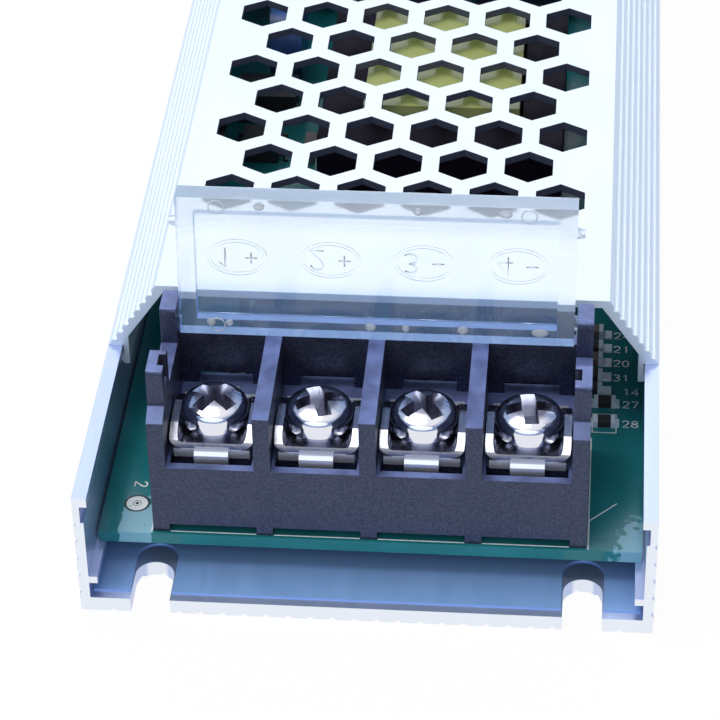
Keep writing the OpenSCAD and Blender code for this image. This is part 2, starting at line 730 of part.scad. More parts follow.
module output_washer_1() { pole_washer(0, out_poles, 0); }
module output_washer_2() { pole_washer(0, out_poles, 1); }
module output_washer_3() { pole_washer(0, out_poles, 2); }
module output_washer_4() { pole_washer(0, out_poles, 3); }
module output_screw_1() { pole_screw(0, out_poles, 0, 52); }
module output_screw_2() { pole_screw(0, out_poles, 1, 20); }
module output_screw_3() { pole_screw(0, out_poles, 2, 38); }
module output_screw_4() { pole_screw(0, out_poles, 3, 8); }
module input_washer_1() { pole_washer(1, in_poles, 0); }
module input_washer_2() { pole_washer(1, in_poles, 1); }
module input_washer_3() { pole_washer(1, in_poles, 2); }
module input_screw_1() { pole_screw(1, in_poles, 0, 30); }
module input_screw_2() { pole_screw(1, in_poles, 1, 64); }
module input_screw_3() { pole_screw(1, in_poles, 2, 12); }

// Clear flaps, drawn closed about the pivot

module oval_ring() {
  linear_extrude(height = oval_rise + e) difference() {
    oval_face(oval_w, oval_h);
    oval_face(oval_w - 2 * oval_line, oval_h - 2 * oval_line);
  }
}

module oval_face(w, h) {
  polygon([for (a = [0 : 9 : 351]) [w / 2 * cos(a), h / 2 * sin(a)]]);
}

module flap(n) {
  fw = block_hw(n) - barrier_t - flap_gap;
  top = pivot_drop;
  bottom = -rim_drop;
  l = flap_reach + tail_l;
  difference() {
    translate([-fw, -flap_reach, bottom]) cube([2 * fw, l, flap_t]);
    translate([-fw + rim_w, -flap_reach + rim_w, bottom - e])
      cube([2 * fw - 2 * rim_w, l - 2 * rim_w, flap_t - flap_plate + e]);
  }
  for (s = [-1, 1]) {
    translate([s * (fw - e), 0, 0]) rotate([0, s * 90, 0]) cylinder(h = flap_gap + pin_l + e, d = pin_d);
    translate([s * (fw - e), nub_y, nub_z]) rotate([0, s * 90, 0])
      cylinder(h = nub_l + e, d1 = nub_d, d2 = nub_d * 0.7);
  }
  for (i = [0 : n - 1]) translate([(i - (n - 1) / 2) * oval_pitch, (tail_l - flap_reach) / 2, top - e])
    oval_ring();
}

module output_flap() {
  color([0.85, 0.9, 0.95, 0.6]) at_end(0) translate([0, pivot_y, pivot_z]) rotate([-flap_open, 0, 0])
    flap(out_poles);
}

module input_flap() {
  color([0.85, 0.9, 0.95, 0.6]) at_end(1) translate([0, pivot_y, pivot_z]) flap(in_poles);
}

// Transformer

module transformer_core() {
  color("darkslategray") translate([trafo_x, trafo_y, top_z + core_lift]) difference() {
    translate([-core_w / 2, -core_y / 2, 0]) cube([core_w, core_y, core_h]);
    translate([-core_w / 2 + core_leg, -core_y / 2 + core_leg, -e])
      cube([core_w - 2 * core_leg, core_y - 2 * core_leg, core_h + 2 * e]);
  }
}

module transformer_coil() {
  w = core_w - 2 * core_leg - 2 * coil_gap;
  l = core_y - 2 * core_leg - 2 * coil_gap;
  color("olive") {
    translate([trafo_x - w / 2, trafo_y - l / 2, top_z + core_lift - 0.1])
      cube([w, l, coil_h - core_lift + 0.1]);
    for (s = [-1, 1]) translate([trafo_x - core_w / 2 + 1, trafo_y + s * pin_y - core_leg / 2, top_z])
      cube([core_w - 2, core_leg, core_lift]);
    translate([trafo_x - w / 2, trafo_y - core_y / 2 + 1, top_z]) cube([w, core_y - 2, core_lift]);
    leads(trafo_pins, top_z + e);
  }
}

// Electrolytic capacitors lying on the board, leads bent down at one end

module can(d, l) {
  r = d / 2;
  rotate_extrude() polygon([[0, 0], [r - 0.8, 0], [r - 0.8, 0.4], [r, 0.8], [r, 2.2], [r - 0.5, 2.6],
    [r - 0.5, 3], [r, 3.4], [r, l - 0.6], [r - 0.6, l], [0, l]]);
}

module bent_leads(points, d, y0, y1) {
  for (p = points) {
    translate([p[0], y0, top_z + d / 2]) rotate([-90, 0, 0]) cylinder(h = y1 - y0, d = lead_d);
    translate([p[0], y1, lead_z]) cylinder(h = top_z + d / 2 - lead_z, d = lead_d);
    translate([p[0], y1, top_z + d / 2]) sphere(d = lead_d);
  }
}

module bulk_capacitor(x) {
  own_leads = [for (p = bulk_leads) if (abs(p[0] - x) < bulk_d / 4) p];
  color("darkslateblue") translate([x, bulk_y1, top_z + bulk_d / 2]) rotate([90, 0, 0])
    can(bulk_d, bulk_y1 - bulk_y0);
  color("lightgray") bent_leads(own_leads, bulk_d, bulk_y1 - e, bulk_lead_y);
}

module bulk_capacitor_1() { bulk_capacitor(bulk_x1); }
module bulk_capacitor_2() { bulk_capacitor(bulk_x2); }

module smooth_capacitor(i) {
  p = smooth_rows[i];
  z = top_z + can_d / 2;
  color("indigo") translate([p[0] - smooth_l / 2, p[1], z]) rotate([0, 90, 0]) can(can_d, smooth_l);
  color("lightgray") for (s = [-1, 1]) translate([p[0] - smooth_l / 2, p[1] + s * 1.75, z]) {
    translate([-1.5, 0, 0]) rotate([0, 90, 0]) cylinder(h = 1.5 + e, d = lead_d);
    translate([-1.5, 0, lead_z - z]) cylinder(h = z - lead_z, d = lead_d);
    translate([-1.5, 0, 0]) sphere(d = lead_d);
  }
}

module output_capacitor_1() { smooth_capacitor(0); }
module output_capacitor_2() { smooth_capacitor(1); }
module output_capacitor_3() { smooth_capacitor(2); }

// Output inductor: a ring core wound round, lying on the board

turns = 18;

module inductor_core() {
  color("darkslategray") translate([ring_x, ring_y, top_z + wire_d + 0.1]) difference() {
    cylinder(h = ring_h - 2 * wire_d, d = coil_d - 2 * wire_d);
    translate([0, 0, -e]) cylinder(h = ring_h, d = coil_d / 2 + 2 * wire_d);
  }
}

module turn_of_wire() {
  out_r = coil_d / 2 - wire_d / 2 + 0.1;
  in_r = coil_d / 4 + wire_d / 2 - 0.1;
  h = ring_h - wire_d + 0.2;
  translate([out_r, 0, 0]) cylinder(h = h, d = wire_d);
  translate([in_r, 0, 0]) cylinder(h = h, d = wire_d);
  for (z = [0, h]) translate([in_r, 0, z]) rotate([0, 90, 0]) cylinder(h = out_r - in_r, d = wire_d);
  for (x = [in_r, out_r], z = [0, h]) translate([x, 0, z]) sphere(d = wire_d);
}

module inductor_winding() {
  color("saddlebrown") {
    for (i = [0 : turns - 1]) translate([ring_x, ring_y, top_z + wire_d / 2]) rotate([0, 0, i * 360 / turns])
      turn_of_wire();
    for (p = ring_leads) {
      translate([p[0], p[1], lead_z]) cylinder(h = top_z + wire_d / 2 - lead_z, d = lead_d);
      translate([p[0], p[1], top_z + wire_d / 2]) rotate([-90, 0, 0]) cylinder(h = 4.5, d = lead_d);
    }
  }
}

// Power semiconductors

module switching_transistors() {
  for (y = fet_rows) {
    color("dimgray") translate([fet_x - fet_t / 2, y - fet_w / 2, top_z + fet_lift])
      cube([fet_t, fet_w, fet_h]);
    color("lightgray") leads([for (p = fet_leads) if (abs(p[1] - y) < fet_w * 0.4) p], top_z + fet_lift + e);
  }
}

module heat_bar() {
  color("silver") translate([fet_x - fet_t / 2 - bar_t, bulk_y0 - 1, top_z])
    cube([bar_t, bulk_y1 - bulk_y0, bar_h]);
}

module output_rectifiers() {
  color("dimgray") translate([diode_x - 5, diode_y - diode_w / 2, top_z]) cube([fet_h, diode_w, fet_t]);
  color("lightgray") {
    difference() {
      translate([diode_x - 5 + fet_h, diode_y - diode_w / 2, top_z]) cube([6, diode_w, 1.3]);
      translate([diode_x - 2 + fet_h, diode_y, top_z - e]) cylinder(h = 2, d = 3.6);
    }
    for (p = diode_leads) {
      translate([p[0], p[1], top_z + 2.4]) rotate([0, 90, 0]) cylinder(h = 2.6 + e, d = lead_d);
      translate([p[0], p[1], lead_z]) cylinder(h = top_z + 2.4 - lead_z, d = lead_d);
      translate([p[0], p[1], top_z + 2.4]) sphere(d = lead_d);
    }
  }
}

module bridge_rectifier() {
  d = bridge_d * fit;
  z = top_z + bridge_t / 2;
  color("dimgray") translate([bridge_x - bridge_w / 2, bridge_y1 - d, top_z]) difference() {
    cube([bridge_w, d, bridge_t]);
    translate([bridge_w / 2, d / 4, -e]) cylinder(h = bridge_t + 2 * e, d = 3.2);
  }
  color("lightgray") for (p = bridge_leads) {
    translate([p[0], p[1], z]) rotate([90, 0, 0]) cylinder(h = p[1] - bridge_y1 + e, d = lead_d);
    translate([p[0], p[1], lead_z]) cylinder(h = z - lead_z, d = lead_d);
    translate([p[0], p[1], z]) sphere(d = lead_d);
  }
}

// Mains choke: a square ring core with two windings on a carrier

module choke_core() {
  l = choke_l * fit;
  color("darkslategray") translate([choke_x, choke_y, top_z + choke_h / 2 + 1 - choke_bar / 2]) difference() {
    translate([-choke_w / 2, -l / 2, 0]) cube([choke_w, l, choke_bar]);
    translate([-choke_w / 2 + choke_bar, -l / 2 + choke_bar, -e])
      cube([choke_w - 2 * choke_bar, l - 2 * choke_bar, choke_bar + 2 * e]);
  }
}

module choke_windings() {
  l = choke_l * fit - 2 * choke_bar - 0.6;
  bore = choke_bar + 0.4;
  foot = 2;
  color("sienna") for (s = [-1, 1]) translate([choke_x + s * (choke_w - choke_bar) / 2, choke_y, top_z]) {
    difference() {
      translate([-choke_bar, -l / 2, foot]) cube([2 * choke_bar, l, choke_h - foot]);
      translate([-bore / 2, -l / 2 - e, choke_h / 2 + 1 - bore / 2]) cube([bore, l + 2 * e, bore]);
    }
    translate([-choke_bar / 2, -choke_half, 0]) cube([choke_bar, 2 * choke_half, foot + e]);
  }
  color("lightgray") leads(choke_leads, top_z + e);
}

module interference_capacitor() {
  color("goldenrod") translate([xcap_x - xcap_l / 2, xcap_y - xcap_d / 2, top_z])
    cube([xcap_l, xcap_d, xcap_h]);
  color("lightgray") leads(xcap_leads, top_z + e);
}

// Fuse: a glass tube between two caps on wire ends

fuse_z = top_z + fuse_d / 2 + 0.4;
cap_l = 3;

module fuse_tube() {
  l = 2 * fuse_half - 2 * cap_l;
  color("white") translate([fuse_x, fuse_y - l / 2, fuse_z]) rotate([-90, 0, 0]) difference() {
    cylinder(h = l, d = fuse_d);
    translate([0, 0, -e]) cylinder(h = l + 2 * e, d = fuse_d - 0.8);
  }
}

module fuse_caps() {
  y = fuse_half - 1.6 * cap_l;
  color("lightgray") for (s = [0, 1]) translate([fuse_x, fuse_y, 0]) mirror([0, s, 0]) {
    translate([0, y, fuse_z]) rotate([-90, 0, 0]) difference() {
      cylinder(h = cap_l, d = fuse_d + 0.8);
      translate([0, 0, -e]) cylinder(h = 0.6 * cap_l + e, d = fuse_d + 0.1);
    }
    translate([0, y + cap_l - e, fuse_z]) rotate([-90, 0, 0]) cylinder(h = 0.6 * cap_l + e, d = lead_d);
    translate([0, fuse_half, lead_z]) cylinder(h = fuse_z - lead_z, d = lead_d);
    translate([0, fuse_half, fuse_z]) sphere(d = lead_d);
  }
}

// Discs standing on their leads

module disc_part(x, y, d, t) {
  translate([x, y + t / 2, top_z + disc_lift + d / 2]) rotate([90, 0, 0]) cylinder(h = t, d = d);
}

module thermistor() {
  color("darkgreen") disc_part(ntc_x, ntc_y, ntc_d, disc_t * fit);
  color("lightgray") leads(ntc_leads, top_z + disc_lift + ntc_d / 5);
}

module varistor() {
  color("steelblue") disc_part(mov_x, mov_y, mov_d, disc_t * fit);
  color("lightgray") leads(mov_leads, top_z + disc_lift + mov_d / 5);
}

module safety_capacitor() {
  d = ycap_d * fit;
  t = 0.9 * disc_t;
  color("royalblue") translate([ycap_x - t / 2, ycap_y, top_z + disc_lift + d / 2]) rotate([0, 90, 0])
    cylinder(h = t, d = d);
  color("lightgray") leads(ycap_leads, top_z + disc_lift + d / 4);
}

// Small packages

module optocoupler() {
  color("dimgray") translate([opto_x - 3.2, opto_y - 2.3, top_z + 0.2]) cube([6.4, 4.6, 3.4]);
  color("lightgray") for (p = opto_leads) {
    translate([p[0], p[1], lead_z]) cylinder(h = top_z + 2 - lead_z, d = lead_d);
    translate([min(p[0], opto_x), p[1] - 0.35, top_z + 1.7]) cube([3.8, 0.7, 0.3]);
  }
}

module control_chip() {
  color("dimgray") translate([opto_x - 2, opto_y - 10, top_z + 0.1]) cube([4, 5, 1.5]);
  color("lightgray") for (s = [0, 1], i = [0 : 3])
    translate([opto_x, opto_y - 7.5 + (i - 1.5) * 1.27, top_z]) mirror([s, 0, 0]) gull_lead();
}

module gull_lead() {
  translate([2.5, -0.2, 0]) cube([0.6, 0.4, 0.2]);
  translate([1.9, -0.2, 0.7]) cube([0.8, 0.4, 0.2]);
  translate([2.5, -0.2, 0]) cube([0.2, 0.4, 0.9]);
}

chip_rows = [23.6, 26.6, 28.6, 30.8, 33.1, 35.4, 37.6];
function chip_x(i) = block_hw(out_poles) + (i < 2 ? 1.35 : 0);

// A chip part of the row beside the output block
module row_chip(i, h) {
  at_end(0) translate([chip_x(i) - 1, chip_rows[i] - 0.625, top_z]) cube([2, 1.25, h]);
}

module chip_resistors() {
  color("black") {
    for (i = [0, 1, 2, 3, 5]) row_chip(i, 0.6);
    for (i = [0 : 3]) translate([opto_x - 5.6, opto_y - 10 + i * 3, top_z]) cube([1.25, 2, 0.6]);
  }
}

module chip_capacitors() {
  color("tan") {
    for (i = [4, 6]) row_chip(i, 0.9);
    for (i = [0 : 1]) translate([opto_x + 4.6, opto_y - 10 + i * 3, top_z]) cube([1.25, 2, 0.9]);
  }
}

base_channel();
top_cover();
insulation_sheet();
circuit_board();
output_block();
output_contacts();
output_flap();
output_washer_1();
output_washer_2();
output_washer_3();
output_washer_4();
output_screw_1();
output_screw_2();
output_screw_3();
output_screw_4();
input_block();
input_contacts();
input_flap();
input_washer_1();
input_washer_2();
input_washer_3();
input_screw_1();
input_screw_2();
input_screw_3();
transformer_core();
transformer_coil();
bulk_capacitor_1();
bulk_capacitor_2();
output_capacitor_1();
output_capacitor_2();
output_capacitor_3();
inductor_core();
inductor_winding();
output_rectifiers();
heat_bar();
switching_transistors();
bridge_rectifier();
choke_core();
choke_windings();
interference_capacitor();
fuse_tube();
fuse_caps();
thermistor();
varistor();
safety_capacitor();
optocoupler();
control_chip();
chip_resistors();
chip_capacitors();
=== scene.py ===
import json
import math
import bpy
import bmesh
from mathutils import Matrix, Vector


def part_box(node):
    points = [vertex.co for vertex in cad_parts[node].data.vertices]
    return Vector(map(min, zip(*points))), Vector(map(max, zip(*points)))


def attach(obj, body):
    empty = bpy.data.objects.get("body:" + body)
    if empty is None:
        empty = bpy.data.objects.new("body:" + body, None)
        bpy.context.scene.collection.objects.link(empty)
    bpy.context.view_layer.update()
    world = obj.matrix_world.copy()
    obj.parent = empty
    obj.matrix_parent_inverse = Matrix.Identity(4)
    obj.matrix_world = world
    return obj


# Slim enclosed power supply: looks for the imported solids, in the same frame
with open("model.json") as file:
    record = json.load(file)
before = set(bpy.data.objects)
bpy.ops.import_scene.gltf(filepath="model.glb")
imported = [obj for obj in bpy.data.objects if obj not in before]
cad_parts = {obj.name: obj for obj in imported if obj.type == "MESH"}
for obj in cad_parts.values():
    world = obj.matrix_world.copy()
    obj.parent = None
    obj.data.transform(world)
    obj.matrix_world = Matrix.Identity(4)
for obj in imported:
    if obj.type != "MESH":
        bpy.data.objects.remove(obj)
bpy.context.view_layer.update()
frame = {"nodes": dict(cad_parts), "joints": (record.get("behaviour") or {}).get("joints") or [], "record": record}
NODES = frame["nodes"]
HINGE = next(j for j in frame["joints"] if j["name"] == "output_flap_hinge")

# Sizes and places taken from the frame, in mm, which MM turns into the frame's metres
MM = 0.001
HALF_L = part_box("base_channel")[1].y / MM
BOARD_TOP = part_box("circuit_board")[1].z / MM
OUTPUT_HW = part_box("output_block")[1].x / MM
INPUT_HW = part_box("input_block")[1].x / MM
PIVOT_Y = -HINGE["pos_m"][1] / MM
PIVOT_Z = HINGE["pos_m"][2] / MM
FLAP_OPEN = HINGE["range_deg"][1]

# Underside of the cover's top, in mm
PLATE_Z = 19.0

# Terminal pitch and the flaps' ovals, reach, outer face and rim above or below the pivot, in mm
POLE_PITCH = 9.5
OVAL_PITCH = 8.5
FLAP_L = 12.2
FLAP_FACE = 0.75
FLAP_RIM = -1.45

# Rise of prints and marks, and half the width of a printed line, in mm
MARK_H = 0.025
PRINT_R = 0.07


# Material helpers


def shader_of(m):
    return m.node_tree.nodes["Principled BSDF"]


def surface(name, colour, rough, metal=0.0, sockets=None):
    """A plain material; sockets gives further inputs of its shader."""
    m = bpy.data.materials.new(name)
    m.use_nodes = True
    inputs = shader_of(m).inputs
    inputs["Base Color"].default_value = (*colour, 1.0)
    inputs["Roughness"].default_value = rough
    inputs["Metallic"].default_value = metal
    for key, value in (sockets or {}).items():
        inputs[key].default_value = value
    m.diffuse_color = (*colour, 1.0)
    return m


def set_input(m, socket, output):
    m.node_tree.links.new(output, shader_of(m).inputs[socket])


def along(owner, output, axis):
    """One axis of a texture coordinate, such as the normal or the place in the object's frame."""
    nodes, links = owner.node_tree.nodes, owner.node_tree.links
    coords = nodes.new("ShaderNodeTexCoord")
    parts = nodes.new("ShaderNodeSeparateXYZ")
    links.new(coords.outputs[output], parts.inputs[0])
    return parts.outputs[axis]


def noise(m, size, detail, stretch=(1, 1, 1)):
    """Noise in the object's frame; size in mm is that of its features, which stretch lengthens."""
    nodes, links = m.node_tree.nodes, m.node_tree.links
    coords = nodes.new("ShaderNodeTexCoord")
    mapping = nodes.new("ShaderNodeMapping")
    mapping.inputs["Scale"].default_value = [1.0 / s for s in stretch]
    tex = nodes.new("ShaderNodeTexNoise")
    tex.inputs["Scale"].default_value = 1.0 / (size * MM)
    tex.inputs["Detail"].default_value = detail
    links.new(coords.outputs["Object"], mapping.inputs["Vector"])
    links.new(mapping.outputs["Vector"], tex.inputs["Vector"])
    return tex.outputs["Fac"]


def span(m, value, low, high, out_low=0, out_high=1):
    """Maps low to high onto out_low to out_high, and holds those two beyond."""
    node = m.node_tree.nodes.new("ShaderNodeMapRange")
    node.inputs["From Min"].default_value = low
    node.inputs["From Max"].default_value = high
    node.inputs["To Min"].default_value = out_low
    node.inputs["To Max"].default_value = out_high
    m.node_tree.links.new(value, node.inputs["Value"])
    return node.outputs["Result"]


def combine(owner, operation, a, b=None):
    node = owner.node_tree.nodes.new("ShaderNodeMath")
    node.operation = operation
    owner.node_tree.links.new(a, node.inputs[0])
    if b is not None:
        owner.node_tree.links.new(b, node.inputs[1])
    return node.outputs[0]


def size_of(m, output, axis):
    """An axis of a texture coordinate without its sign."""
    return combine(m, "ABSOLUTE", along(m, output, axis))


def distance(m, place, centre):
    node = m.node_tree.nodes.new("ShaderNodeVectorMath")
    node.operation = "DISTANCE"
    node.inputs[1].default_value = centre
    m.node_tree.links.new(place, node.inputs[0])
    return node.outputs["Value"]


def blend_colours(m, share, a, b):
    """A colour from a to b by a share of 0 to 1; each is a tuple or a node's output."""
    node = m.node_tree.nodes.new("ShaderNodeMix")
    node.data_type = "RGBA"
    for socket, colour in (("A", a), ("B", b)):
        slot = [i for i in node.inputs if i.name == socket and i.type == "RGBA"][0]
        if isinstance(colour, tuple):
            slot.default_value = (*colour, 1.0)
        else:
            m.node_tree.links.new(colour, slot)
    m.node_tree.links.new(share, node.inputs["Factor"])
    return [o for o in node.outputs if o.type == "RGBA"][0]


def mottle(m, pattern, low, high, a, b):
    """A base colour that turns from a to b as a pattern rises from low to high."""
    set_input(m, "Base Color", blend_colours(m, span(m, pattern, low, high), a, b))


def paint_over(m, share, colour):
    """Lays a colour over the base colour by a share of 0 to 1."""
    under = shader_of(m).inputs["Base Color"].links[0].from_socket
    set_input(m, "Base Color", blend_colours(m, share, under, colour))


def relief(m, height, depth, strength):
    """Bumps from a pattern, depth in mm."""
    node = m.node_tree.nodes.new("ShaderNodeBump")
    node.inputs["Strength"].default_value = strength
    node.inputs["Distance"].default_value = depth * MM
    m.node_tree.links.new(height, node.inputs["Height"])
    set_input(m, "Normal", node.outputs["Normal"])


# Light by the kind of ray, for materials and the world


def ray_share(owner, kinds):
    """1 for the kinds of ray named, 0 for the others."""
    path = owner.node_tree.nodes.new("ShaderNodeLightPath")
    share = path.outputs[kinds[0]]
    for kind in kinds[1:]:
        share = combine(owner, "MAXIMUM", share, path.outputs[kind])
    return share


def blend_shaders(owner, share, a, b):
    node = owner.node_tree.nodes.new("ShaderNodeMixShader")
    owner.node_tree.links.new(share, node.inputs["Fac"])
    owner.node_tree.links.new(a, node.inputs[1])
    owner.node_tree.links.new(b, node.inputs[2])
    return node.outputs[0]


# Materials, one function each


def aluminium(name, colour, rough, metal=0.85):
    """Extruded aluminium: fine drawing lines along the length and slight cloudiness."""
    m = surface(name, colour, rough, metal=metal)
    lines = noise(m, 0.16, 3.0, (1, 220, 1))
    cloud = noise(m, 9.0, 3.0, (1, 2.5, 1))
    mottle(m, cloud, 0.35, 0.65, colour, tuple(c * 0.94 for c in colour))
    set_input(m, "Roughness", span(m, lines, 0.3, 0.7, rough - 0.04, rough + 0.04))
    relief(m, lines, 0.003, 0.14)
    return m


def sawn_aluminium():
    """The channel's aluminium, paler on its sawn ends."""
    m = aluminium("channel_aluminium", (0.55, 0.63, 0.88), 0.32, 0.8)
    paint_over(m, span(m, size_of(m, "Normal", "Y"), 0.8, 0.9), (0.84, 0.88, 0.95))
    return m


def punched_aluminium():
    """The cover's aluminium, painted a colder blue on its slopes as painted light from the cold sky, and painted
    dark on the walls of its punched holes as painted shade.
    """
    m = aluminium("cover_aluminium", (0.86, 0.925, 1.0), 0.45, 0.3)
    flat = size_of(m, "Normal", "Z")
    # Painted light: the slopes are painted a colder blue for the cold sky light that falls on them.
    paint_over(m, span(m, flat, 0.8, 0.95, 1, 0), (0.74, 0.85, 1.0))
    upright = span(m, flat, 0.2, 0.3, 1, 0)
    in_top = span(m, along(m, "Object", "Z"), PLATE_Z * MM, (PLATE_Z + 0.1) * MM)
    not_end = span(m, size_of(m, "Normal", "Y"), 0.9, 0.95, 1, 0)
    walls = combine(m, "MULTIPLY", combine(m, "MULTIPLY", upright, in_top), not_end)
    # Painted shade: the upright walls of the holes in the top are painted nearly black.
    paint_over(m, walls, (0.07, 0.08, 0.13))
    return m


def moulding():
    """Black moulded plastic with a fine spark-eroded grain and a cold sheen; what faces up is painted a lighter
    cold blue, partly a dusty film and partly a painted sheen of the light on the tops.
    """
    sheen = {"Specular IOR Level": 0.8, "Specular Tint": (0.46, 0.58, 1.0, 1.0), "IOR": 1.6}
    m = surface("black_moulding", (0.012, 0.012, 0.022), 0.36, sockets=sheen)
    grain = noise(m, 0.22, 6.0)
    patches = noise(m, 2.6, 5.0)
    mottle(m, grain, 0.4, 0.66, (0.004, 0.004, 0.008), (0.034, 0.034, 0.056))
    facing_up = span(m, along(m, "Normal", "Z"), 0.6, 0.95)
    dust_and_painted_sheen = combine(m, "MULTIPLY", facing_up, span(m, patches, 0.3, 0.65, 0.35, 1.1))
    # Painted light: the faces that look up are painted a lighter cold blue, partly dirt settled there and partly a
    # painted sheen of the light on the tops.
    paint_over(m, dust_and_painted_sheen, (0.16, 0.2, 0.42))
    set_input(m, "Roughness", span(m, patches, 0.35, 0.65, 0.3, 0.4))
    relief(m, grain, 0.03, 0.5)
    return m


def painted_glare(m):
    """Share of a painted reflection: pale glare laid in spots on the board's corners, at both sides of the blocks.
    """
    across = along(m, "Object", "X")
    right = span(m, across, 20.5 * MM, 24.0 * MM)
    left_from = span(m, across, -23.3 * MM, -22.7 * MM)
    left_to = span(m, across, -20.0 * MM, -19.9 * MM, 1, 0)
    side = combine(m, "MAXIMUM", right, combine(m, "MULTIPLY", left_from, left_to))
    end = span(m, size_of(m, "Object", "Y"), 82.0 * MM, 89.5 * MM)
    spots = span(m, noise(m, 1.1, 5.0), 0.3, 0.7, 0.3, 1)
    glare_spots = combine(m, "MULTIPLY", combine(m, "MULTIPLY", side, end), spots)
    return span(m, glare_spots, 0.3, 0.36, 0, 0.8)


def laminate():
    """Green solder mask: blue-green with faint mottling, a stippled gloss and a painted reflection of pale glare
    at the corners.
    """
    m = surface("board_laminate", (0.017, 0.19, 0.2), 0.15, sockets={"Specular IOR Level": 0.32})
    weave = noise(m, 0.45, 3.0)
    patches = noise(m, 6.0, 4.0, (1, 1.6, 1))
    mottle(m, patches, 0.35, 0.65, (0.014, 0.17, 0.185), (0.02, 0.21, 0.23))
    # Painted reflection: pale glare painted into the base colour at the corners.
    paint_over(m, painted_glare(m), (0.26, 0.52, 0.64))
    relief(m, weave, 0.02, 0.6)
    return m


def nickel(name, colour, rough):
    """Nickel plate with a faint ripple in its face and gloss."""
    m = surface(name, colour, rough, metal=1.0)
    ripple = noise(m, 0.8, 3.0)
    set_input(m, "Roughness", span(m, ripple, 0.3, 0.7, rough * 0.7, rough * 1.4))
    relief(m, ripple, 0.02, 0.6)
    return m


def screw_nickel():
    """Nickel screws, duller in the cross recess and painted dark there as painted shade, found by the distance
    from the axis.
    """
    m = nickel("nickel_screw", (0.64, 0.65, 0.7), 0.1)
    nodes, links = m.node_tree.nodes, m.node_tree.links
    flat = nodes.new("ShaderNodeMapping")
    flat.inputs["Scale"].default_value = (1, 1, 0)
    flat.inputs["Location"].default_value = (0, 0, 0.5)
    links.new(nodes.new("ShaderNodeTexCoord").outputs["Generated"], flat.inputs["Vector"])
    off_axis = distance(m, flat.outputs["Vector"], (0.5, 0.5, 0.5))
    recess = span(m, off_axis, 0.25, 0.33, 1, 0)
    # Painted shade: the cross recess is painted dark.
    mottle(m, recess, 0, 1, (0.78, 0.79, 0.86), (0.22, 0.22, 0.28))
    set_input(m, "Roughness", span(m, recess, 0, 1, 0.1, 0.3))
    return m


def tinned():
    """Tinned contact plates with fine lines across them."""
    m = surface("tinned_contact", (0.76, 0.78, 0.84), 0.3, metal=0.8)
    lines = noise(m, 0.12, 3.0, (60, 1, 60))
    set_input(m, "Roughness", span(m, lines, 0.3, 0.7, 0.22, 0.42))
    relief(m, lines, 0.012, 0.6)
    return m


def film():
    """Polyester film lying on the floor, with the gloss and the cold tint of the metal below."""
    coat = {"Coat Weight": 0.2, "Coat Roughness": 0.2}
    m = surface("insulating_film", (0.3, 0.5, 0.88), 0.36, metal=0.4, sockets=coat)
    wave = noise(m, 14.0, 2.0, (1, 2, 1))
    haze = noise(m, 1.2, 4.0, (1, 6, 1))
    set_input(m, "Roughness", span(m, haze, 0.35, 0.65, 0.3, 0.42))
    relief(m, wave, 0.02, 0.2)
    return m


def clear(name, colour, rough):
    """Clear plastic or glass, which lets light through to what it covers."""
    m = surface(name, colour, rough, sockets={"Transmission Weight": 1.0, "IOR": 1.5})
    flow = noise(m, 7.0, 2.0)
    relief(m, flow, 0.01, 0.4)
    set_input(m, "Alpha", span(m, ray_share(m, ["Is Shadow Ray"]), 0, 1, 1, 0.15))
    return m


def from_pivot(m):
    """Distance from a flap's own hinge line."""
    place = m.node_tree.nodes.new("ShaderNodeCombineXYZ")
    m.node_tree.links.new(size_of(m, "Object", "Y"), place.inputs["Y"])
    m.node_tree.links.new(along(m, "Object", "Z"), place.inputs["Z"])
    return distance(m, place.outputs[0], (0, PIVOT_Y * MM, PIVOT_Z * MM))


def flap_plastic():
    """Clear plastic with a cold haze, strongest at the output flap's hinge and free edge: partly a dusty film,
    partly a painted reflection of the cold sky; the free edge is also made milky as a painted reflection.
    """
    plain = (0.99, 0.995, 1.0)
    m = clear("clear_plastic", plain, 0.06)
    shader_of(m).inputs["Sheen Roughness"].default_value = 0.7
    reach = span(m, from_pivot(m), 0.17 * FLAP_L * MM, 0.9 * FLAP_L * MM)
    panel = span(m, reach, 0.02, 0.15)
    edge = span(m, reach, 0.7, 0.9)
    # Painted reflection: the base colour is bluer near the hinge for the cold sky reflected in the flap.
    mottle(m, panel, 0, 1, (0.86, 0.93, 1.0), plain)
    # Painted reflection: the sheen's cold-blue tint stands for the sky reflected in the flap.
    tint = blend_colours(m, panel, (0.3, 0.55, 1.0), (0.86, 0.94, 1.0))
    set_input(m, "Sheen Tint", blend_colours(m, edge, tint, (0.5, 0.72, 1.0)))
    # The sheen's weight is partly a dusty film and partly a painted reflection, mostly on the output flap.
    dust_and_painted_sheen = combine(m, "ADD", span(m, panel, 0, 1, 0.7, 0.35), span(m, edge, 0, 1, 0, 0.5))
    output_end = span(m, along(m, "Object", "Y"), 0, 1 * MM, 1, 0.3)
    set_input(m, "Sheen Weight", combine(m, "MULTIPLY", dust_and_painted_sheen, output_end))
    # Painted reflection: the free edge lets less light through, so it looks milky like the light its top face
    # reflects.
    set_input(m, "Transmission Weight", span(m, edge, 0, 1, 0.97, 0.76))
    return m


def glint_white():
    """White plastic that paints the glints on the flaps' gate pips and rings as painted highlights."""
    milky = {"Transmission Weight": 0.65, "IOR": 1.5}
    m = surface("glint_white_plastic", (0.95, 0.97, 1.0), 0.2, sockets=milky)
    grain = noise(m, 0.2, 3.0)
    relief(m, grain, 0.02, 0.4)
    return m


